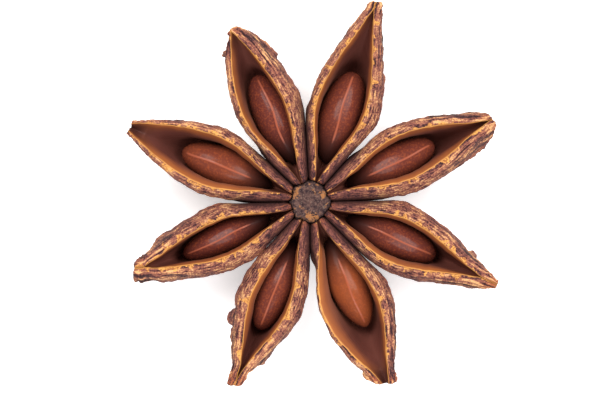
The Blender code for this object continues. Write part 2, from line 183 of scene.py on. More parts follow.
class Follicle(NamedTuple):
    """One boat.  Widths are at the belly, the widest place of its mouth."""
    bearing: float
    reach: float
    mouth: float
    belly: float
    left: float
    right: float
    taper: float
    bow: float
    fork: float
    lip_left: float
    lip_right: float
    back_left: float
    back_right: float
    blunt: float                # 0 is a pointed tip, 1 a square one
    skew: float                 # how much further the tip's left side reaches
    neck: float                 # how much the beak narrows before its end
    contact: float              # how far out it touches the next one anticlockwise
    seed_at: float
    seed_width: float
    seed_point: float


FOLLICLES = (
    Follicle(25.7, 17.50, 17.2, 9.3, 1.85, 2.00, 1.5, -0.43, 0.0,
             0.94, 1.22, 0.95, 1.50, 0.6, 0.0, 0.0, 6.4, -0.15, 3.4, 0.92),
    Follicle(72.1, 18.35, 17.7, 8.8, 2.05, 2.16, 1.4, -0.15, 0.0,
             0.69, 1.33, 0.76, 0.82, 0.6, -0.2, 0.1, 8.9, -0.28, 3.8, 0.88),
    Follicle(114.1, 16.65, 16.3, 9.1, 2.20, 1.52, 1.1, 0.24, 0.0,
             0.51, 1.51, 0.60, 1.33, 0.2, -0.5, 0.0, 7.0, -0.20, 3.5, 0.92),
    Follicle(157.7, 17.00, 17.0, 9.5, 2.12, 2.21, 1.2, -0.07, 0.28,
             0.86, 0.84, 0.25, 0.25, 0.3, 0.0, 0.0, 6.8, 0.05, 3.7, 1.00),
    Follicle(204.6, 17.10, 15.9, 8.3, 1.28, 1.86, 1.4, -1.05, 0.0,
             1.32, 1.43, 1.10, 0.85, 0.6, 0.7, 0.0, 5.1, -0.35, 2.9, 0.95),
    Follicle(248.0, 17.30, 16.7, 9.3, 1.74, 1.65, 1.9, -0.11, 0.0,
             1.23, 1.26, 0.80, 0.85, 0.7, -0.3, 0.3, 6.0, 0.05, 3.3, 0.95),
    Follicle(292.9, 17.25, 17.2, 9.7, 2.18, 2.69, 1.5, -0.10, 0.25,
             1.32, 0.16, 0.65, 0.75, 0.8, 0.4, 0.2, 7.7, 0.32, 3.5, 1.15),
    Follicle(336.5, 17.90, 16.4, 8.4, 1.96, 1.96, 1.6, -0.10, 0.0,
             1.36, 0.90, 1.00, 1.20, 0.1, 0.0, 0.0, 6.7, 0.00, 3.4, 0.92),
)


class Finish(NamedTuple):
    """What only shows on a follicle's fine surface."""
    slope_left: float           # width of the slope inside each rim
    slope_right: float
    gilt: float                 # how far the golden wear reaches over the lips
    burnt: float                # how orange the end of the beak is
    seed_warmth: float          # 0 is a dark red seed, 1 a light orange one


FINISHES = (
    Finish(0.45, 0.60, 0.5, 0.2, 0.10),
    Finish(0.35, 0.30, 0.7, 0.1, 0.10),
    Finish(0.50, 0.25, 0.5, 0.5, 0.00),
    Finish(0.70, 0.45, 0.6, 0.3, 0.35),
    Finish(0.35, 0.20, 0.8, 0.2, 0.00),
    Finish(0.35, 0.60, 0.4, 1.0, 0.10),
    Finish(0.40, 1.10, 0.4, 0.8, 0.85),
    Finish(0.40, 0.60, 0.6, 1.0, 0.05),
)


class Flake(NamedTuple):
    """A tag of torn skin that stands off a follicle's back."""
    follicle: int
    side: float                 # 1 is the anticlockwise side, -1 the other
    at: float                   # from the pod's axis
    length: float
    height: float


FLAKES = (
    Flake(1, -1, 15.2, 2.8, 0.36),
    Flake(2, -1, 12.3, 0.9, 0.18),
    Flake(2, -1, 13.5, 0.7, 0.12),
    Flake(3, -1, 13.6, 2.0, 0.50),
    Flake(3, 1, 15.1, 0.7, 0.50),
    Flake(4, -1, 13.3, 1.0, 0.10),
    Flake(5, -1, 13.2, 2.4, 0.26),
    Flake(5, 1, 14.2, 1.6, 0.20),
    Flake(6, -1, 11.9, 1.5, 0.52),
    Flake(6, -1, 13.4, 1.4, 0.25),
    Flake(6, 1, 14.3, 1.6, 0.30),
    Flake(7, 1, 13.2, 0.9, 0.16),
    Flake(7, 1, 14.6, 0.7, 0.10),
    Flake(7, -1, 16.3, 1.2, 0.34),
    Flake(8, 1, 15.0, 0.9, 0.34),
)


# ---- Whole-array helpers -----------------------------------------------------
def smooth_step(x):
    """0 below 0, 1 above 1, and 3x^2 - 2x^3 between."""
    x = np.clip(x, 0.0, 1.0)
    return x * x * (3.0 - 2.0 * x)


def rise(x, start, length):
    """0 below the start, 1 a length further on, and a smooth step between."""
    return smooth_step((x - start) / length)


def soft_least(a, b, rounding):
    """The lesser of a and b, with the corner where they cross rounded off."""
    return 0.5 * (a + b - np.sqrt((a - b) ** 2 + rounding ** 2))


def quarter_round(x):
    """A quarter circle: 1 at x = 0, falling to 0 at x = 1."""
    return np.sqrt(1.0 - np.clip(x, 0.0, 1.0) ** 2)


def lattice_value(column, row, seed):
    """A repeatable value from -1 to 1 for each pair of whole numbers."""
    mixed = np.sin(column * 127.1 + row * 311.7 + seed * 74.7) * 43758.5453
    return 2.0 * (mixed - np.floor(mixed)) - 1.0


def value_noise(x, y, seed):
    """Values on a unit lattice, blended across each cell by smooth steps."""
    x, y = np.broadcast_arrays(np.asarray(x, float), np.asarray(y, float))
    column, row = np.floor(x), np.floor(y)
    across, up = smooth_step(x - column), smooth_step(y - row)
    low = (lattice_value(column, row, seed) * (1.0 - across)
           + lattice_value(column + 1.0, row, seed) * across)
    high = (lattice_value(column, row + 1.0, seed) * (1.0 - across)
            + lattice_value(column + 1.0, row + 1.0, seed) * across)
    return low * (1.0 - up) + high * up


def fractal_noise(x, y, seed, octaves=3):
    """Value noise added at doubled frequency and half height, octave by octave."""
    total, size = 0.0, 1.0
    for octave in range(octaves):
        total = total + size * value_noise(x * 2.0 ** octave, y * 2.0 ** octave, seed + octave)
        size *= 0.5
    return total / (2.0 - 2.0 * size)


def sheet_normals(points):
    """Unit normals of a grid, from the cross product of its two tangents."""
    normals = np.cross(np.gradient(points, axis=0), np.gradient(points, axis=1))
    length = np.linalg.norm(normals, axis=2, keepdims=True)
    return normals / np.maximum(length, TINY)


def arc_from_rims(points):
    """Distance along each cross-section from the nearer of its two ends."""
    steps = np.linalg.norm(np.diff(points, axis=1), axis=2)
    from_left = np.concatenate([np.zeros((len(points), 1)), np.cumsum(steps, axis=1)], axis=1)
    return np.minimum(from_left, from_left[:, -1:] - from_left)


# ---- The form of a follicle ----------------------------------------------------
def rim_height(follicle, u):
    """A shallow sag between the column and a tip that turns up."""
    x = u / follicle.reach
    return RIM_HEIGHT - RIM_SAG * np.sin(np.pi * x) + BEAK_LIFT * x ** 3


def keel_height(follicle, u):
    """Down on the surface in the middle, up at the heel and at the beak."""
    heel = np.clip((HEEL_REACH - u) / (HEEL_REACH - FOOT_REACH), 0.0, 1.0)
    beak = np.clip((u - KEEL_TURN) / (follicle.reach - KEEL_TURN), 0.0, 1.0)
    beak_rise = rim_height(follicle, follicle.reach) - BEAK_DEPTH
    return HEEL_RISE * heel ** 2 + beak_rise * beak ** KEEL_CURVE - KEEL_FLAT


def mouth_half_width(follicle, width, u):
    """A leaf's edge: a raised cosine out to the belly, a cosine to a power beyond."""
    rising = 0.5 - 0.5 * np.cos(np.pi * np.clip(
        (u - THROAT_REACH) / (follicle.belly - THROAT_REACH), 0.0, 1.0))
    leaf_end = follicle.mouth + MOUTH_OVERRUN
    outward = np.clip((u - follicle.belly) / (leaf_end - follicle.belly), 0.0, 1.0)
    falling = np.cos(0.5 * np.pi * outward) ** follicle.taper
    closing = quarter_round(1.0 - (follicle.mouth - u) / MOUTH_ROUND)
    leaf = width * np.where(u < follicle.belly, rising, falling) * closing
    return leaf + SLIT + follicle.fork * smooth_step(outward)


def nest_size(follicle, u):
    """Size of the section through the seed grown by its gap, 1 where it is largest."""
    share = (u - SEED_START + SEED_GAP) / (SEED_END - SEED_START + 2.0 * SEED_GAP)
    along = np.arccos(1.0 - 2.0 * np.clip(share, 0.0, 1.0))
    return np.sin(along) ** np.where(along < 0.5 * np.pi, SEED_INNER_POINT, follicle.seed_point)


def nest_half_width(follicle, u, z):
    """Half the width of the grown seed at each u and z: the seed's own section below
    its waist, and a fuller one above it."""
    size = nest_size(follicle, u)[:, None]
    above = (z - SEED_WAIST) / ((0.5 * SEED_DEPTH + SEED_GAP) * size + TINY)
    power = np.where(above > 0.0, NEST_SHOULDER, 2.0 / SEED_EDGE)
    return ((0.5 * follicle.seed_width + SEED_GAP) * size
            * np.sqrt(1.0 - np.clip(np.abs(above), 0.0, 1.0) ** power))


def tip_share(follicle, u):
    """Share of a lip's width that is left towards the tip: between a straight line
    to a point and a quarter circle to a square end, less a bell curve at the neck."""
    tip_round = TIP_LONG + (TIP_SHORT - TIP_LONG) * follicle.blunt
    from_point = np.clip((follicle.reach - u) / tip_round, 0.0, 1.0)
    pointed = follicle.blunt * quarter_round(1.0 - from_point) + (1.0 - follicle.blunt) * from_point
    tip = follicle.blunt + (1.0 - follicle.blunt) * pointed
    neck = follicle.neck * np.exp(-((follicle.reach - u - NECK_AT) / NECK_WIDTH) ** 2)
    corner = quarter_round(1.0 - (follicle.reach - u) / TIP_EDGE)
    return tip * (1.0 - neck) * (TIP_CORNER + (1.0 - TIP_CORNER) * corner)


def hollow_depth(follicle, u, rim_z, keel_z):
    """Depth of the hollow below the rim: steeply down from the column to the seed,
    then as deep as the seed needs, then a floor that shoals in the beak."""
    throat = THROAT_DEPTH * np.sqrt(rise(u, FOOT_REACH, SEED_START - FOOT_REACH))
    nest = rim_z - SEED_WAIST + (0.5 * SEED_DEPTH + SEED_GAP) * nest_size(follicle, u)
    inward = np.where(u > SEED_START - SEED_GAP, np.maximum(throat, nest), throat)
    outward = rim_z - np.maximum(keel_z + FLOOR_WALL, SEED_TOP - SEED_DEPTH - SEED_GAP)
    shoaling = ((1.0 - BEAK_SHOAL * rise(u, SEED_ROOM, follicle.mouth - SEED_ROOM))
                * quarter_round(1.0 - (follicle.mouth + MOUTH_MARGIN - u) / HOLLOW_ROUND))
    return np.where(u < SEED_MIDDLE, inward, outward) * shoaling


def side_curves(number, follicle, slope, side, neighbour, u, way):
    """Outer and inner wall of one side, as arrays over u and over the way down.

    The lip is a quarter ellipse out to the widest place, and the outer wall below
    it a superellipse down to the keel, pressed flat as far out as neighbours touch.
    The inner wall is another one from the rim to the hollow's floor, kept clear of
    the seed.  Under a thin lip the walls slope in, under a thick one they are steep.
    """
    half_wedge, contact = neighbour
    lip = follicle.lip_left if side > 0 else follicle.lip_right
    back = follicle.back_left if side > 0 else follicle.back_right
    mouth = follicle.left if side > 0 else follicle.right
    beyond = np.clip((u - follicle.belly) / (follicle.reach - follicle.belly), 0.0, 1.0)
    middle = side * follicle.bow * beyond ** 1.5
    lean = side * KEEL_LEAN * (follicle.lip_left - follicle.lip_right)
    lean = lean * rise(u, FOOT_REACH, LEAN_LENGTH) * (1.0 - LEAN_LOST * beyond)
    seam = 1.0 - rise(u, FOOT_REACH, SEAM_LENGTH)
    foot = 1.0 - quarter_round(1.0 - (u - FOOT_REACH) / FOOT_ROUND)
    opened = rise(u, OPEN_FROM, 2.0)
    uneven = number * 10.0 + side

    rim_z = rim_height(follicle, u) - FOOT_DROP * foot
    keel_z = keel_height(follicle, u)
    free_rim = middle + mouth_half_width(follicle, mouth, u)
    free_rim = free_rim + RIM_WAVE * fractal_noise(u * 1.3, uneven, 1.0) * opened
    band = (lip + (back - lip) * beyond) * tip_share(follicle, u)
    band = np.maximum(band * (1.0 + LIP_WAVE * fractal_noise(u * 0.9, uneven, 2.0)), THIN_LIP)
    wedge = u * np.tan(half_wedge)
    apart = rise(u, FILL_REACH * contact, FILL_LENGTH * contact)
    wall_v = np.maximum(free_rim + band, wedge) * (1.0 - apart) + (free_rim + band) * apart
    wall_v = soft_least(wall_v, wedge, WALL_EASE) - FOOT_PINCH * foot
    rim_v = soft_least(free_rim, wall_v - CUT_EDGE, RIM_EASE)
    band = wall_v - rim_v
    widest_z = rim_z - np.minimum(LIP_DROP + LIP_SLANT * band, LIP_DEPTH * (rim_z - keel_z))

    def by_row(values):
        return values[:, None]

    around_lip = 0.5 * np.pi * np.clip(way / LIP_SHARE, 0.0, 1.0)
    down_wall = 0.5 * np.pi * np.clip((way - LIP_SHARE) / (1.0 - LIP_SHARE), 0.0, 1.0)
    steep = WALL_POWER + LIP_POWER * min(lip, LIP_POWER_LIMIT)
    outer_power = max(OUTER_POWER_SHARE * steep + OUTER_POWER_MORE, OUTER_POWER_LEAST)
    edge_v = rim_v + CUT_EDGE
    lip_v = by_row(edge_v) + by_row(wall_v - edge_v) * np.sin(around_lip)
    lip_z = by_row(rim_z) - by_row(rim_z - widest_z) * (1.0 - np.cos(around_lip))
    lip_z = lip_z - by_row(SEAM_SINK * seam) * (1.0 - np.sin(around_lip)) ** 2
    keel_v = middle + lean
    shrink = np.cos(down_wall) ** (2.0 / outer_power)
    drop = np.sin(down_wall) ** (2.0 / outer_power)
    low_v = by_row(keel_v) + by_row(wall_v - keel_v) * shrink
    pressed = 1.0 - rise(u, PRESS_REACH * contact, (1.0 - PRESS_REACH) * contact)
    pressed = by_row(pressed) * smooth_step(drop / PRESS_START)
    pressed = pressed * (1.0 - rise(drop, PRESS_DEPTH, PRESS_ROUND))
    low_v = low_v + np.maximum(by_row(wedge) - low_v, 0.0) * pressed
    low_z = by_row(widest_z) - by_row(widest_z - keel_z) * drop
    outer_v = np.where(way < LIP_SHARE, lip_v, low_v)
    outer_z = np.where(way < LIP_SHARE, lip_z, low_z)

    turn = 0.5 * np.pi * way
    inner_power = steep * (1.0 - INNER_POWER_LOST * smooth_step(beyond / 0.8))
    inner_power = by_row(np.maximum(inner_power, INNER_POWER_LEAST))
    open_end = FORK_DEPTH * smooth_step(beyond) * (follicle.fork > 0.0)
    hollow = np.maximum(hollow_depth(follicle, u, rim_z, keel_z), open_end)
    hollow = np.maximum(HOLLOW_LEAST + hollow, SEAM_DEPTH * seam)
    sunk = by_row(hollow) * np.sin(turn) ** (2.0 / inner_power)
    inner_z = by_row(rim_z - RIM_STEP - SEAM_SINK * seam) - sunk
    floor_v = middle + FLOOR_LEAN * lean
    undercut = by_row(UNDERCUT * band * opened) * np.sin(np.pi * way) ** 2
    bared = np.minimum(slope * rise(u, OPEN_FROM, 3.0),
                       BARE_LIMIT * np.maximum(rim_v - floor_v, 0.0))
    open_v = by_row(rim_v - floor_v) - by_row(bared) * (1.0 - np.exp(-sunk / BARE_DEPTH))
    inner_v = (by_row(floor_v) + undercut * np.cos(turn)
               + open_v * np.cos(turn) ** (2.0 / inner_power))
    nest = nest_half_width(follicle, u, inner_z)
    nest_v = np.minimum(side * follicle.seed_at + nest, by_row(wall_v) - THIN_WALL)
    inner_v = np.where(nest > 0.0, -soft_least(-inner_v, -nest_v, NEST_EASE), inner_v)
    return (side * outer_v, outer_z), (side * inner_v, inner_z)


def follicle_sheets(number, follicle, finish, neighbours, u, way):
    """Outer and inner sheet as (station, point, u v z) arrays.  Both run from the
    left rim under the boat to the right rim, so point i of one faces point i of
    the other."""
    left = side_curves(number, follicle, finish.slope_left, 1.0, neighbours[0], u, way)
    right = side_curves(number, follicle, finish.slope_right, -1.0, neighbours[1], u, way)
    slanting = follicle.skew * rise(u, follicle.reach - SKEW_REACH, SKEW_REACH)
    sheets = []
    for (left_v, left_z), (right_v, right_z) in zip(left, right):
        v = np.concatenate([left_v, right_v[:, -2::-1]], axis=1)
        z = np.concatenate([left_z, right_z[:, -2::-1]], axis=1)
        sheets.append(np.stack([u[:, None] + slanting[:, None] * v, v, z], axis=2))
    return sheets


def torn_skin(number, side, u, way):
    """Height of the flakes: flat-topped bumps along u, in a band about the widest
    place, with a ragged edge."""
    height = 0.0 * u
    for flake in FLAKES:
        if (flake.follicle, flake.side) == (number, side):
            along = np.clip(1.0 - np.abs(2.0 * (u - flake.at) / flake.length) ** 3, 0.0, 1.0)
            band = rise(way, 0.30, 0.10) * (1.0 - rise(way, 0.52, 0.08))
            ragged = 0.8 + 0.5 * fractal_noise(u * 3.5, way * 14.0, 5.0)
            height = height + flake.height * along * band * ragged
    return height


def ridges(number, u, arc, side):
    """Lengthwise ridges, from -1 in a groove to 1 on a crest: the fold of a noise
    stretched along u, bent by a slow wave."""
    tag = number * 17.0 + side
    bent = arc + 0.30 * value_noise(u * 0.5, arc * 0.6, tag + 3.0)
    return 1.0 - 2.2 * np.abs(fractal_noise(u * 0.38, bent * 3.1, tag, 2))


def outer_relief(number, follicle, contact, u, arc, side):
    """Height of the dried skin over the plain form: ridges that grow towards the
    tip and down the wall, small lumps everywhere, and a rough beak.  There is none
    on the walls that neighbours touch."""
    tag = number * 17.0 + side
    past_rim = rise(arc, 0.12, 0.35)
    towards_tip = rise(u, 6.0, follicle.reach - 7.5)
    on_wall = rise(arc, 0.8, 0.9)
    lumps = fractal_noise(u * 2.3, arc * 2.0, tag + 5.0, 3)
    broad = value_noise(u * 0.6, arc * 0.5, tag + 7.0)
    beak = rise(u, follicle.reach - 2.2, 1.6)
    ridge_height = RIDGE_LEAST + RIDGE_MORE * np.maximum(towards_tip, 0.7 * on_wall)
    height = (ridge_height * past_rim * ridges(number, u, arc, side)
              + (LUMP_LEAST + LUMP_MORE * towards_tip) * lumps * (0.4 + 0.6 * past_rim)
              + SWELL_HEIGHT * broad * on_wall
              + BEAK_ROUGHNESS * beak * fractal_noise(u * 3.4, arc * 3.8, tag + 9.0, 3))
    touching = 1.0 - rise(u, 0.85 * contact, 0.25 * contact)
    touching = touching * rise(arc, 0.5, 0.5)
    return (height - SKIN_SINK) * (1.0 - touching)


def inner_relief(number, u, arc, side):
    """Height of the lining: faint lengthwise grain on soft hollows."""
    tag = number * 13.0 + side
    return (LINING_SWELL * value_noise(u * 0.7, arc * 0.8, tag)
            + LINING_GRAIN * fractal_noise(u * 0.8, arc * 3.5, tag + 2.0, 2))


def follicle_surface(number, follicle, finish, neighbours):
    """Points of both sheets with their relief, and three vectors for each point.

    skin: its u, its distance from the rim, negative in the hollow, and the gilt.
    form: its ridge's height, its share of the lip, and how hard it is pressed.
    end: its distances from the tip and from the foot, and how burnt the tip is.
    """
    even = np.linspace(0.0, 1.0, STATIONS)
    eased = even + STATION_CROWDING * (0.5 - 0.5 * np.cos(np.pi * even) - even)
    u = FOOT_REACH + (follicle.reach - FOOT_REACH) * eased
    way = np.linspace(0.0, 1.0, SIDE_POINTS)
    outer, inner = follicle_sheets(number, follicle, finish, neighbours, u, way)
    whole_way = np.concatenate([way, way[-2::-1]])[None, :]
    side = np.concatenate([np.ones(SIDE_POINTS), -np.ones(SIDE_POINTS - 1)])[None, :]
    along = np.broadcast_to(u[:, None], outer.shape[:2])

    outer_arc, inner_arc = arc_from_rims(outer), arc_from_rims(inner)
    lift, crest, press = 0.0, 0.0, 0.0
    for one_side, neighbour in zip((1.0, -1.0), neighbours):
        own, contact = side == one_side, neighbour[1]
        crest = crest + own * ridges(number, along, outer_arc, one_side)
        lift = lift + own * (outer_relief(number, follicle, contact, along, outer_arc, one_side)
                             + torn_skin(number, one_side, along, whole_way))
        press = press + own * (1.0 - rise(along, 0.8 * contact, 0.3 * contact))
    press = press * (1.0 - rise(whole_way, 0.50, 0.30))
    keel_blend = rise(1.0 - whole_way, 0.0, 0.06)
    outer = outer + sheet_normals(outer) * (lift * keel_blend)[..., None]
    outer[..., 2] = np.maximum(outer[..., 2], 0.0)
    sink = inner_relief(number, along, inner_arc, side) * smooth_step(whole_way / 0.1)
    inner = inner + sheet_normals(inner) * (sink * keel_blend)[..., None]

    gilt = np.full(outer.shape[:2], finish.gilt)
    burnt = np.full(outer.shape[:2], finish.burnt)
    skin = np.stack([np.stack([along, outer_arc + 0.5 * CUT_EDGE, gilt], axis=2),
                     np.stack([along, -inner_arc - 0.5 * CUT_EDGE, gilt], axis=2)])
    across = np.clip(whole_way / LIP_SHARE, 0.0, 1.0)
    form = np.stack([np.stack([crest, across + 0.0 * crest, press], axis=2),
                     np.zeros(outer.shape)])
    end = np.stack([follicle.reach - along, along - FOOT_REACH, burnt], axis=2)
    return outer, inner, skin, form, np.stack([end, end])


def into_pod(points, bearing):
    """From a follicle's own u, v, z to the pod's x, y, z."""
    turn = np.radians(bearing)
    u, v, z = points[..., 0], points[..., 1], points[..., 2]
    x = AXIS_AT[0] + u * np.cos(turn) - v * np.sin(turn)
    y = AXIS_AT[1] + u * np.sin(turn) + v * np.cos(turn)
    return np.stack([x, y, z], axis=-1)


def crumpled(points):
    """The pod's points with those about a follicle's foot moved in or out a little,
    by a noise over x and y, so that the crack round the column runs unevenly."""
    x, y = points[..., 0] - AXIS_AT[0], points[..., 1] - AXIS_AT[1]
    off_crack = (np.hypot(x, y) - FOOT_REACH) / CRACK_WIDTH
    shift = 1.0 + CRACK_SHIFT * np.exp(-off_crack ** 2) * fractal_noise(x * 1.8, y * 1.8, 91.0, 3)
    return np.stack([AXIS_AT[0] + x * shift, AXIS_AT[1] + y * shift, points[..., 2]], axis=-1)


def neighbours_of(number):
    """For the left and the right side: half the angle to the next follicle, in
    radians, and how far out the two touch."""
    own, right = FOLLICLES[number], FOLLICLES[number - 1]
    left = FOLLICLES[(number + 1) % len(FOLLICLES)]
    to_left = np.radians((left.bearing - own.bearing) % 360.0 / 2.0)
    to_right = np.radians((own.bearing - right.bearing) % 360.0 / 2.0)
    return (to_left, own.contact), (to_right, right.contact)


def shell_faces(rows, cols):
    """Quads of a boat: outer sheet, inner sheet, the two rims and the two ends."""
    outer = np.arange(rows * cols).reshape(rows, cols)
    inner = outer + rows * cols

    def quads(a, b, c, d):
        return np.stack([a.ravel(), b.ravel(), c.ravel(), d.ravel()], axis=1).tolist()

    faces = quads(outer[:-1, :-1], outer[1:, :-1], outer[1:, 1:], outer[:-1, 1:])
    faces += quads(inner[:-1, :-1], inner[:-1, 1:], inner[1:, 1:], inner[1:, :-1])
    faces += quads(outer[:-1, 0], inner[:-1, 0], inner[1:, 0], outer[1:, 0])
    faces += quads(outer[:-1, -1], outer[1:, -1], inner[1:, -1], inner[:-1, -1])
    faces += quads(outer[0, :-1], outer[0, 1:], inner[0, 1:], inner[0, :-1])
    faces += quads(outer[-1, :-1], inner[-1, :-1], inner[-1, 1:], outer[-1, 1:])
    return faces


def capped_ring_faces(rows, cols):
    """Quads of a ringed body whose two poles are single points, first and last."""
    ring = 1 + np.arange(rows * cols).reshape(rows, cols)
    after = np.roll(ring, -1, axis=1)
    last = 1 + rows * cols
    faces = np.stack([ring[:-1], after[:-1], after[1:], ring[1:]], axis=2).reshape(-1, 4).tolist()
    faces += [[0, b, a] for a, b in zip(ring[0].tolist(), after[0].tolist())]
    faces += [[last, a, b] for a, b in zip(ring[-1].tolist(), after[-1].tolist())]
    return faces


def capped(rings):
    """The points of a ringed body with the middle of each end ring as its pole."""
    return np.concatenate([rings[0].mean(axis=0)[None], rings.reshape(-1, rings.shape[2]),
                           rings[-1].mean(axis=0)[None]])


# ---- The seeds -----------------------------------------------------------------
def seed_surface(number, follicle, finish):
    """An egg on edge: rings along u whose size is a power of a sine, each ring a
    superellipse a little pointed at top and bottom, with a fine crest along the top.

    coat: a point's share of the length, its height in the crest, and the warmth.
    flank: how far round it is, from 0 on the upper edge to 1 at the waist.
    """
    along = (np.linspace(SEED_CAP, 1.0 - SEED_CAP, SEED_RINGS) * np.pi)[:, None]
    power = np.where(along < 0.5 * np.pi, SEED_INNER_POINT, follicle.seed_point)
    size = np.sin(along) ** power
    around = np.linspace(0.0, 2.0 * np.pi, SEED_SIDES, endpoint=False)[None, :]
    share = 0.5 - 0.5 * np.cos(along)
    turned = np.where(around > np.pi, around - 2.0 * np.pi, around)
    turned = turned - 0.10 * value_noise(share * 3.0, number, 44.0)
    crest = (np.exp(-(turned * size / CREST_WIDTH) ** 2)
             * rise(share, 0.14, 0.16) * rise(0.985 - share, 0.0, 0.06))
    dimple = SEED_DIMPLE * value_noise(share * 4.0, np.sin(around) * 2.0, number + 40.0)
    swell = size * (1.0 + dimple) + CREST_HEIGHT * crest
    u = SEED_START + (SEED_END - SEED_START) * share
    v = follicle.seed_at + 0.5 * follicle.seed_width * swell * np.sin(around)
    pointed = np.sign(np.cos(around)) * np.abs(np.cos(around)) ** SEED_EDGE
    z = SEED_WAIST + 0.5 * SEED_DEPTH * swell * pointed
    rings = np.stack([u + 0.0 * v, v, z], axis=2)
    coat = np.stack([share + 0.0 * v, crest, np.full_like(v, finish.seed_warmth)], axis=2)
    flank = np.stack([np.abs(np.sin(turned)) + 0.0 * v, 0.0 * v, 0.0 * v], axis=2)
    return into_pod(capped(rings), follicle.bearing), capped(coat), capped(flank)


# ---- The column ----------------------------------------------------------------
def column_surface():
    """A plug with one flat facing each follicle: its radius in a direction is that
    of the flat which faces that way.  Two noises roughen the top.

    disc: a point's share of the radius, and how far it is in an ochre patch.
    """
    flat = FOOT_REACH
    height, radius = np.array([
        (COLUMN_BOTTOM, 0.05), (COLUMN_BOTTOM, COLUMN_SCAR),
        (COLUMN_BOTTOM + 0.15, flat - 0.43), (COLUMN_BOTTOM + 0.6, flat - 0.13),
        (COLUMN_BOTTOM + 1.3, flat), (COLUMN_TOP - 1.2, flat), (COLUMN_TOP - 0.25, flat - 0.02),
        (COLUMN_TOP - 0.10, flat - 0.10), (COLUMN_TOP, flat - 0.24), (COLUMN_TOP, 0.9),
        (COLUMN_TOP, 0.04)]).T
    mark = np.arange(len(height))
    fine = np.concatenate([np.linspace(0.0, 5.0, COLUMN_RINGS[0], endpoint=False),
                           np.linspace(5.0, mark[-1], COLUMN_RINGS[1])])
    height, radius = np.interp(fine, mark, height), np.interp(fine, mark, radius)
    around = np.linspace(0.0, 2.0 * np.pi, COLUMN_SIDES, endpoint=False)
    bearings = np.radians([follicle.bearing for follicle in FOLLICLES])
    facing = np.cos(around[:, None] - bearings[None, :]).max(axis=1)
    wide = radius[:, None] / facing[None, :]
    x, y = wide * np.cos(around), wide * np.sin(around)
    on_top = rise(height, COLUMN_TOP - 0.5, 0.4)[:, None]
    rough = (0.10 * fractal_noise(x * 1.6, y * 1.6, 61.0, 4)
             + 0.05 * fractal_noise(x * 5.0, y * 5.0, 67.0, 2))
    inward = 1.0 - 0.035 * on_top * (1.0 + 1.5 * fractal_noise(x * 2.6, y * 2.6, 71.0, 3))
    z = height[:, None] + on_top * (rough - 0.05)
    rings = np.stack([AXIS_AT[0] + x * inward, AXIS_AT[1] + y * inward, z], axis=2)
    ochre = sum(np.exp(-((x - patch_x) ** 2 + (y - patch_y) ** 2) / patch_size ** 2)
                for patch_x, patch_y, patch_size in COLUMN_PATCHES)
    disc = np.stack([radius[:, None] / flat + 0.0 * wide, ochre, 0.0 * wide], axis=2)
    return capped(crumpled(rings)), capped(disc)


# ---- Materials -----------------------------------------------------------------
class Socket:
    """A node's output.  Arithmetic on it adds Math nodes to the same material."""

    def __init__(self, paint, output):
        self.paint = paint
        self.output = output

    def __add__(self, other):
        return self.paint.math("ADD", self, other)

    def __radd__(self, other):
        return self.paint.math("ADD", other, self)

    def __sub__(self, other):
        return self.paint.math("SUBTRACT", self, other)

    def __rsub__(self, other):
        return self.paint.math("SUBTRACT", other, self)

    def __mul__(self, other):
        return self.paint.math("MULTIPLY", self, other)

    def __rmul__(self, other):
        return self.paint.math("MULTIPLY", other, self)


def opaque(colour):
    """A plain colour with its alpha.  A socket stays as it is."""
    return colour if isinstance(colour, Socket) else (*colour, 1.0)


class Paint:
    """A material's nodes, ending in one Principled BSDF."""

    def __init__(self, name):
        self.material = bpy.data.materials.new(name)
        self.material.use_nodes = True
        self.tree = self.material.node_tree
        self.shader = self.tree.nodes["Principled BSDF"]

    def feed(self, socket, value):
        if isinstance(value, Socket):
            self.tree.links.new(value.output, socket)
        else:
            socket.default_value = value

    def node(self, kind, settings, sockets, output=0):
        """One node of a kind: its settings first, then its sockets, by name or place."""
        node = self.tree.nodes.new(kind)
        for name, value in settings.items():
            if name == "stops":
                for place, colour in value[:-2]:
                    node.color_ramp.elements.new(place)
                for element, (place, colour) in zip(node.color_ramp.elements, value):
                    element.position, element.color = place, opaque(colour)
            else:
                setattr(node, name, value)
        for name, value in sockets.items():
            self.feed(node.inputs[name], value)
        return Socket(self, node.outputs[output])

    def math(self, operation, *values):
        return self.node("ShaderNodeMath", {"operation": operation}, dict(enumerate(values)))

    def step(self, value, low, high):
        """0 where the value is below low, 1 above high, smooth between."""
        return self.node("ShaderNodeMapRange", {"interpolation_type": "SMOOTHSTEP"},
                         {"Value": value, "From Min": low, "From Max": high})

    def mix(self, factor, first, second):
        """Two colours blended by a factor."""
        return self.node("ShaderNodeMix", {"data_type": "RGBA"},
                         {0: factor, 6: opaque(first), 7: opaque(second)}, output=2)

    def noise(self, place, scale, detail, roughness, distortion=0.0):
        """Blender's noise, from 0 to 1, at a scale per unit of the place."""
        return self.node("ShaderNodeTexNoise", {},
                         {"Vector": place, "Scale": scale, "Detail": detail,
                          "Roughness": roughness, "Distortion": distortion})

    def stretched(self, place, stretch):
        """A place scaled by its own amount along each axis."""
        return self.node("ShaderNodeVectorMath", {"operation": "MULTIPLY"},
                         {0: place, 1: stretch})

    def attribute(self, name, output):
        return self.node("ShaderNodeAttribute", {"attribute_name": name}, {}, output)

    def axis(self, vector, name):
        return self.node("ShaderNodeSeparateXYZ", {}, {0: vector}, output=name)

    def finish(self, colour, roughness, shine=0.5, height=None, depth=0.0):
        """Feeds the shader: shine is its specular level, depth a bump's in millimetres."""
        self.shader.inputs["Specular IOR Level"].default_value = shine
        self.feed(self.shader.inputs["Base Color"], opaque(colour))
        self.feed(self.shader.inputs["Roughness"], roughness)
        if height is not None:
            normal = self.node("ShaderNodeBump", {}, {"Height": height, "Distance": depth * MM,
                                                      "Strength": 1.0})
            self.feed(self.shader.inputs["Normal"], normal)
        return self.material


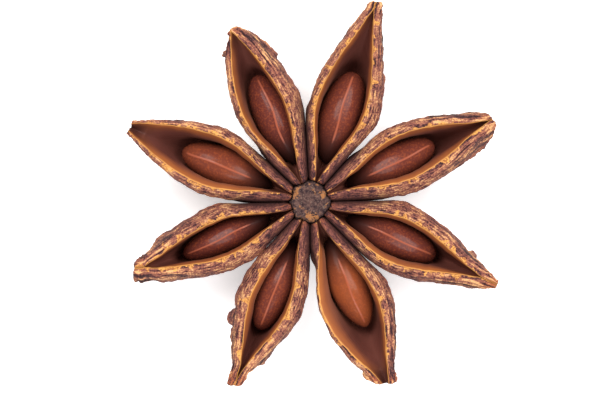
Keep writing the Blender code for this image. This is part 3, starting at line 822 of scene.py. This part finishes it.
def paint_husk(look):
    """Outside, purple skin with dark grooves and ochre crests, worn to gold in
    blotches and teeth from the rim outwards, with painted shade where neighbours
    press and along the crack against the column.  Inside, a satin lining from
    gold at the rim, with painted shade to dark brown deeper down, by the column
    and inside the tips, and painted light low beside the inner half of each seed."""
    paint = Paint("anise_husk")
    skin = paint.attribute("skin", "Vector")
    form = paint.attribute("form", "Vector")
    crest = paint.axis(form, "X")
    place = paint.node("ShaderNodeTexCoord", {}, {}, output="Object")
    along = paint.axis(skin, "X")
    from_rim = paint.axis(skin, "Y")
    gilt = paint.axis(skin, "Z")
    end = paint.attribute("end", "Vector")
    from_tip = paint.axis(end, "X")
    from_foot = paint.axis(end, "Y")
    outside = paint.step(from_rim, -0.01, 0.01)
    surface = paint.stretched(skin, (1.0, 1.0, 40.0))

    mottle = paint.noise(place, 900.0, 4.0, 0.6)
    blotch = paint.noise(place, 1050.0, 3.0, 0.6, 0.5)
    teeth = paint.noise(paint.stretched(surface, (1.15, 0.32, 1.0)), 1.0, 2.0, 0.5, 0.3)
    fibres = paint.noise(paint.stretched(surface, (1.3, 7.5, 1.0)), 1.0, 4.0, 0.65, 0.6)
    strands = paint.noise(paint.stretched(surface, (0.45, 4.2, 1.0)), 1.0, 3.0, 0.6, 0.4)
    stipple = paint.noise(place, 6500.0, 2.0, 0.65)

    beak = 1.0 - paint.step(from_tip, 3.0, 9.0)
    narrow = 1.5 - 1.5 * paint.step(from_foot, 1.0, 4.5)
    field = (0.24 + 0.4 * gilt - (1.4 + narrow) * from_rim + 2.4 * (blotch - 0.5)
             + 3.0 * (teeth - 0.5) + 0.5 * (stipple - 0.5))
    field = field - 0.30 * (1.0 - paint.step(from_tip, 0.5, 4.0))
    wear = paint.step(field, 0.29, 0.52)
    grain = fibres + beak * (strands - fibres)
    low_wall = paint.step(from_rim, 1.0, 2.4)
    near_foot = 1.0 - paint.step(from_foot, 1.5, 5.0)
    contrast = 1.0 - 0.45 * low_wall - 0.35 * near_foot
    tone = 0.5 + contrast * ((1.35 + 0.05 * beak) * (grain - 0.5) + 0.65 * (stipple - 0.5)
                             + 0.75 * (mottle - 0.5))
    tone = tone + contrast * (0.05 + 0.09 * beak) * (crest - 0.35)
    tone = tone - 0.10 * near_foot - 0.02 * beak - 0.05 * low_wall
    skin_colour = paint.node("ShaderNodeValToRGB", {"stops": (
        (0.30, look.groove), (0.41, look.skin), (0.57, look.rust), (0.74, look.fibre))},
        {"Fac": tone})
    ashen = paint.step(from_rim + 0.8 * (mottle - 0.5), 0.55, 1.3) * beak * (1.0 - low_wall)
    skin_colour = paint.mix(0.6 * ashen * (1.0 - paint.step(tone, 0.50, 0.70)),
                            skin_colour, look.ash)
    burnt = (1.0 - paint.step(from_tip + 1.8 * (blotch - 0.5), 0.3, 1.5)) * paint.axis(end, "Z")
    burnt = burnt + 0.8 * (1.0 - paint.step(from_foot + 1.4 * (blotch - 0.5), 0.1, 0.9))
    burnt = 0.75 * burnt * paint.step(tone, 0.36, 0.50) * (1.0 - paint.step(tone, 0.56, 0.72))
    skin_colour = paint.mix(burnt, skin_colour, look.burnt)
    gold = paint.mix(paint.step(0.5 * stipple + 0.5 * grain, 0.42, 0.56), look.gold_dark, look.gold)
    outer = paint.mix(wear, skin_colour, gold)
    # painted shade on the outer wall where neighbours press together
    crevice_shade = paint.step(paint.axis(form, "Y"), 0.05, 0.80) * paint.axis(form, "Z")
    outer = paint.mix(0.9 * crevice_shade, outer, look.crevice_shade)
    # painted shade along the crack against the column
    outer = paint.mix(1.0 - paint.step(from_foot + 0.3 * (mottle - 0.5), 0.0, 0.08),
                      outer, look.shaded_crack)

    depth = 0.0 - from_rim + 0.25 * (mottle - 0.5)
    lining = paint.mix(paint.step(depth, 0.0, 0.20), look.gold, look.lining)
    # the lining darkens with depth below the rim: painted shade
    lining = paint.mix(paint.step(depth, 0.05, 1.0), lining, look.lining_low_shade)
    lining = paint.mix(paint.step(depth, 0.5, 2.2), lining, look.lining_deep_shade_and_streaks)
    streak = paint.noise(paint.stretched(surface, (0.30, 1.8, 1.0)), 1.0, 3.0, 0.5)
    lining = paint.mix(0.30 * paint.step(streak, 0.40, 0.70), lining, look.lining_deep_shade_and_streaks)
    # painted light: a lighter colour low beside the inner half of a seed, where shade falls
    low = paint.step(depth, 0.5, 1.6) * (0.9 - 0.6 * paint.step(along, 4.4, 6.2)
                                         - 0.3 * paint.step(along, 9.0, 13.0))
    lining = paint.mix(low, lining, look.throat)
    # painted shade in the deep throat by the column
    lining = paint.mix(0.92 - 0.92 * paint.step(along, 3.3, 4.3), lining, look.lining_deep_shade_and_streaks)
    # painted shade deep inside the tips
    lining = paint.mix(0.7 * (1.0 - paint.step(from_tip, 0.6, 2.6)) * paint.step(depth, 0.1, 0.7),
                       lining, look.crevice_shade)
    colour = paint.mix(outside, lining, outer)

    roughness = 0.46 + 0.26 * outside
    height = (outside * (0.7 * grain + 0.40 * stipple + 0.2 * blotch)
              + (1.0 - outside) * (0.10 * streak + 0.03 * stipple))
    return paint.finish(colour, roughness, 0.18, height, 0.22)


def paint_seed(look):
    """A polished red-brown coat with a painted highlight along its crest, flanks
    darkened partly by dirt and partly by painted shade, and painted shade
    towards the inner end."""
    paint = Paint("anise_seed")
    coat = paint.attribute("coat", "Vector")
    place = paint.node("ShaderNodeTexCoord", {}, {}, output="Object")
    share = paint.axis(coat, "X")
    crest = paint.axis(coat, "Y")
    warmth = paint.axis(coat, "Z")
    flank = paint.axis(paint.attribute("flank", "Vector"), "X")
    cloud = paint.noise(place, 420.0, 3.0, 0.5)
    speckle = paint.noise(place, 5200.0, 3.0, 0.6)
    body = paint.mix(warmth, look.coat_dark, look.coat_warm)
    body = paint.mix(0.5 * paint.step(cloud, 0.35, 0.7), body, look.coat_dark)
    # darker low flanks: partly dirt, partly painted shade
    low = 0.75 * paint.step(flank + 0.3 * (cloud - 0.5), 0.70, 1.05)
    body = paint.mix(low, body, look.coat_shade_and_dirt)
    # painted shade towards the inner end by the column
    body = paint.mix(1.0 - paint.step(share, 0.04, 0.50), body, look.coat_shade_and_dirt)
    # painted highlight: a pale line along the seed's crest
    line = 0.9 * paint.step(crest - 0.4 * (speckle - 0.4), 0.35, 0.9)
    body = paint.mix(line, body, look.crest)
    flecks = 0.36 * paint.step(speckle, 0.45, 0.7) * paint.step(share, 0.15, 0.5)
    body = paint.mix(flecks, body, look.fleck)
    roughness = 0.38 + 0.12 * speckle - 0.25 * paint.step(share, 0.08, 0.40)
    return paint.finish(body, roughness, 0.12, 0.3 * cloud + 0.10 * speckle, 0.06)


def paint_column(look):
    """Rough grey-brown wood with ochre patches, pale specks and painted shade on its broken edge.
    """
    paint = Paint("anise_column")
    disc = paint.attribute("disc", "Vector")
    place = paint.node("ShaderNodeTexCoord", {}, {}, output="Object")
    outward = paint.axis(disc, "X")
    mottle = paint.noise(place, 2600.0, 4.0, 0.65)
    patch = paint.noise(place, 1500.0, 3.0, 0.65, 0.5)
    pits = paint.noise(place, 7000.0, 3.0, 0.6)
    wood = paint.mix(paint.step(mottle, 0.35, 0.65), look.wood_dark, look.wood)
    ochre = paint.step(patch + 0.30 * (outward - 0.95) + (mottle - 0.5)
                       + 0.22 * paint.axis(disc, "Y"), 0.54, 0.68)
    wood = paint.mix(ochre * 0.8, wood, look.ochre)
    wood = paint.mix(paint.step(pits, 0.54, 0.70) * 0.5, wood, look.wood_pale)
    # painted shade along the crack round the top's edge
    wood = paint.mix(paint.step(outward + 0.35 * (mottle - 0.5), 0.95, 1.0), wood, look.shaded_crack)
    return paint.finish(wood, 0.86, 0.15, 0.7 * mottle + 0.5 * pits, 0.20)


def paint_floor(look):
    """A plain pale sheet that gives off a little light."""
    paint = Paint("anise_floor")
    paint.feed(paint.shader.inputs["Emission Color"], opaque(look.floor))
    paint.feed(paint.shader.inputs["Emission Strength"], look.floor_glow)
    return paint.finish(look.floor, 0.9)


# ---- Objects -------------------------------------------------------------------
def make_piece(name, points, faces, material):
    """A smooth mesh in the row's frame, from points in millimetres."""
    mesh = bpy.data.meshes.new(name)
    mesh.from_pydata((points * MM).tolist(), [], faces)
    mesh.shade_smooth()
    mesh.materials.append(material)
    piece = bpy.data.objects.new(name, mesh)
    bpy.context.scene.collection.objects.link(piece)
    return piece


def give_vectors(piece, name, vectors):
    """Stores one vector for each point of the piece, for its material to read."""
    attribute = piece.data.attributes.new(name, "FLOAT_VECTOR", "POINT")
    attribute.data.foreach_set("vector", np.ascontiguousarray(vectors, np.float32).ravel())


def stand_for(piece, node):
    """Puts a piece on the pod's body in place of a solid, and hides the solid."""
    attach(piece, BODY)
    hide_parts(node)


def add_light(name, location, aim, size, power, colour):
    """A square soft light that points from its place at its aim, in millimetres."""
    light = bpy.data.lights.new(name, "AREA")
    light.shape = "SQUARE"
    light.size = size * MM
    light.energy = power
    light.color = colour
    lamp = bpy.data.objects.new(name, light)
    bpy.context.scene.collection.objects.link(lamp)
    lamp.location = np.array(location) * MM
    lamp.rotation_euler = Vector(np.subtract(aim, location)).to_track_quat("-Z", "Y").to_euler()


def shade(name, description, red, green, blue):
    """A colour given as it looks on a screen, from 0 to 255, kept as linear light."""
    share = np.array([red, green, blue]) / 255.0
    linear = np.where(share <= 0.04045, share / 12.92, ((share + 0.055) / 1.055) ** 2.4)
    return bpy.props.FloatVectorProperty(name=name, description=description, subtype="COLOR",
                                         size=3, min=0.0, max=1.0,
                                         default=tuple(float(c) for c in linear))


class AniseHuskLook(bpy.types.PropertyGroup):
    """Colours of the follicles."""
    skin: shade("Skin", "Dried skin of the lips and backs", 112, 64, 60)
    groove: shade("Groove", "Between the ridges of the skin", 52, 30, 34)
    rust: shade("Rust", "Flanks of the ridges", 156, 98, 76)
    fibre: shade("Fibre", "Crests of the ridges", 220, 166, 114)
    ash: shade("Ash", "Weathered wall of the beak", 76, 64, 60)
    burnt: shade("Burnt orange", "Ends of the lips", 168, 88, 48)
    gold: shade("Gold", "Worn edge of the rim", 224, 160, 86)
    gold_dark: shade("Dark gold", "Shaded grain of the worn edge", 150, 90, 52)
    # painted shade: between neighbours, and inside a tip
    crevice_shade: shade("Crevice", "Between neighbours, and inside a tip", 60, 34, 32)
    # painted shade in the crack against the column
    shaded_crack: shade("Crack", "Broken edge against the column", 26, 14, 14)
    lining: shade("Lining", "Inside of a follicle just below its rim", 164, 95, 50)
    # painted shade: the lining darkened halfway down
    lining_low_shade: shade("Low lining", "Inside halfway down", 142, 81, 52)
    # painted shade low in the hollow and by the column, and also the colour of the lining's grain
    # streaks
    lining_deep_shade_and_streaks: shade("Deep lining", "Low in the hollow, and by the column", 110, 63, 54)
    # painted light: lighter than the lining, low in the hollow where shade falls
    throat: shade("Throat", "Low beside the inner half of a seed", 172, 114, 84)


class AniseSeedLook(bpy.types.PropertyGroup):
    """Colours of the seeds."""
    coat_warm: shade("Warm coat", "The lightest seeds", 142, 73, 41)
    coat_dark: shade("Dark coat", "The darkest seeds", 92, 44, 38)
    # painted shade at the inner end, and on the low flanks partly dirt, partly painted shade
    coat_shade_and_dirt: shade("Inner end", "The end by the column, and low flanks", 48, 25, 22)
    # painted highlight along the seed's crest
    crest: shade("Crest", "The line along a seed's upper edge", 154, 82, 60)
    fleck: shade("Fleck", "Fine orange flecks", 168, 83, 44)


class AniseColumnLook(bpy.types.PropertyGroup):
    """Colours of the column."""
    wood: shade("Wood", "Broken woody surface", 98, 72, 66)
    wood_dark: shade("Dark wood", "Hollows of the broken surface", 46, 32, 36)
    wood_pale: shade("Pale wood", "Raised specks", 140, 118, 104)
    # painted shade in the crack at the top's edge
    shaded_crack: shade("Crack", "Broken edge of the top", 26, 14, 14)
    ochre: shade("Ochre", "Patches on the top", 164, 108, 62)


class AniseStageLook(bpy.types.PropertyGroup):
    """The floor, the camera and the light."""
    floor: shade("Floor", "Colour of the floor", 246, 246, 246)
    floor_glow: bpy.props.FloatProperty(
        name="Floor glow", description="Light that the floor gives off", default=0.5, min=0.0)
    view_width: bpy.props.FloatProperty(
        name="View width", description="Width seen at the height of the rims",
        default=53.55 * MM, min=0.01, unit="LENGTH")
    view_distance: bpy.props.FloatProperty(
        name="View distance", description="From the camera to the rims",
        default=0.26, min=0.05, unit="LENGTH")


class ANISE_OT_follicles(bpy.types.Operator):
    """Build the eight follicles over their solids"""
    bl_idname = "anise.follicles"
    bl_label = "Follicles"

    def execute(self, context):
        material = paint_husk(context.scene.anise_husk)
        for number, follicle in enumerate(FOLLICLES):
            outer, inner, skin, form, end = follicle_surface(
                number + 1, follicle, FINISHES[number], neighbours_of(number))
            points = np.concatenate([outer.reshape(-1, 3), inner.reshape(-1, 3)])
            piece = make_piece(f"shell_{number + 1}", crumpled(into_pod(points, follicle.bearing)),
                               shell_faces(*outer.shape[:2]), material)
            give_vectors(piece, "skin", skin)
            give_vectors(piece, "form", form)
            give_vectors(piece, "end", end)
            stand_for(piece, f"follicle_{number + 1}")
        return {"FINISHED"}


class ANISE_OT_seeds(bpy.types.Operator):
    """Build the eight seeds over their solids"""
    bl_idname = "anise.seeds"
    bl_label = "Seeds"

    def execute(self, context):
        material = paint_seed(context.scene.anise_seed)
        faces = [face[::-1] for face in capped_ring_faces(SEED_RINGS, SEED_SIDES)]
        for number, follicle in enumerate(FOLLICLES):
            points, coat, flank = seed_surface(number, follicle, FINISHES[number])
            piece = make_piece(f"kernel_{number + 1}", points, faces, material)
            give_vectors(piece, "coat", coat)
            give_vectors(piece, "flank", flank)
            stand_for(piece, f"seed_{number + 1}")
        return {"FINISHED"}


class ANISE_OT_column(bpy.types.Operator):
    """Build the column that the follicles stand round"""
    bl_idname = "anise.column"
    bl_label = "Column"

    def execute(self, context):
        points, disc = column_surface()
        faces = capped_ring_faces(sum(COLUMN_RINGS), COLUMN_SIDES)
        piece = make_piece("hub", points, faces, paint_column(context.scene.anise_column))
        give_vectors(piece, "disc", disc)
        stand_for(piece, "column")
        return {"FINISHED"}


class ANISE_OT_stage(bpy.types.Operator):
    """Set the floor, the camera and the lights"""
    bl_idname = "anise.stage"
    bl_label = "Stage"

    def execute(self, context):
        look = context.scene.anise_stage
        corners = FLOOR_REACH * np.array([[-1, -1, 0], [1, -1, 0], [1, 1, 0], [-1, 1, 0]])
        floor = make_piece("floor", corners, [[0, 1, 2, 3]], paint_floor(look))

        camera_data = bpy.data.cameras.new("camera")
        camera_data.sensor_width = SENSOR_WIDTH
        camera_data.lens = SENSOR_WIDTH * look.view_distance / look.view_width
        camera_data.clip_start = 0.01
        camera = bpy.data.objects.new("camera", camera_data)
        context.scene.collection.objects.link(camera)
        camera.location = (VIEW_CENTRE[0] * MM, VIEW_CENTRE[1] * MM,
                           RIM_HEIGHT * MM + look.view_distance)
        context.scene.camera = camera

        for name, location, size, power, colour in LIGHTS:
            add_light(name, location, LIGHT_AIM, size, power, colour)
        world = bpy.data.worlds.new("world")
        world.use_nodes = True
        sky = world.node_tree.nodes["Background"]
        sky.inputs["Color"].default_value = (1.0, 1.0, 1.0, 1.0)
        sky.inputs["Strength"].default_value = SKY_STRENGTH
        context.scene.world = world
        context.scene.view_settings.view_transform = "Standard"
        return {"FINISHED"}


class ANISE_PT_panel(bpy.types.Panel):
    """Lists the pod's pieces and its stage"""
    bl_idname = "ANISE_PT_panel"
    bl_label = "Star anise"
    bl_space_type = "VIEW_3D"
    bl_region_type = "UI"
    bl_category = "Star anise"

    def draw(self, context):
        for operator, look in STEPS:
            self.layout.operator(operator.bl_idname)
            settings = getattr(context.scene, look)
            for name in settings.__annotations__:
                self.layout.prop(settings, name)


LOOKS = {"anise_husk": AniseHuskLook, "anise_seed": AniseSeedLook,
         "anise_column": AniseColumnLook, "anise_stage": AniseStageLook}
STEPS = ((ANISE_OT_follicles, "anise_husk"), (ANISE_OT_seeds, "anise_seed"),
         (ANISE_OT_column, "anise_column"), (ANISE_OT_stage, "anise_stage"))
CLASSES = (*LOOKS.values(), *(operator for operator, look in STEPS), ANISE_PT_panel)


def register():
    for cls in CLASSES:
        bpy.utils.register_class(cls)
    for name, cls in LOOKS.items():
        setattr(bpy.types.Scene, name, bpy.props.PointerProperty(type=cls))


def unregister():
    for name in LOOKS:
        delattr(bpy.types.Scene, name)
    for cls in reversed(CLASSES):
        bpy.utils.unregister_class(cls)


def main():
    register()
    bpy.ops.anise.follicles()
    bpy.ops.anise.seeds()
    bpy.ops.anise.column()
    bpy.ops.anise.stage()


if __name__ == "__main__":
    main()
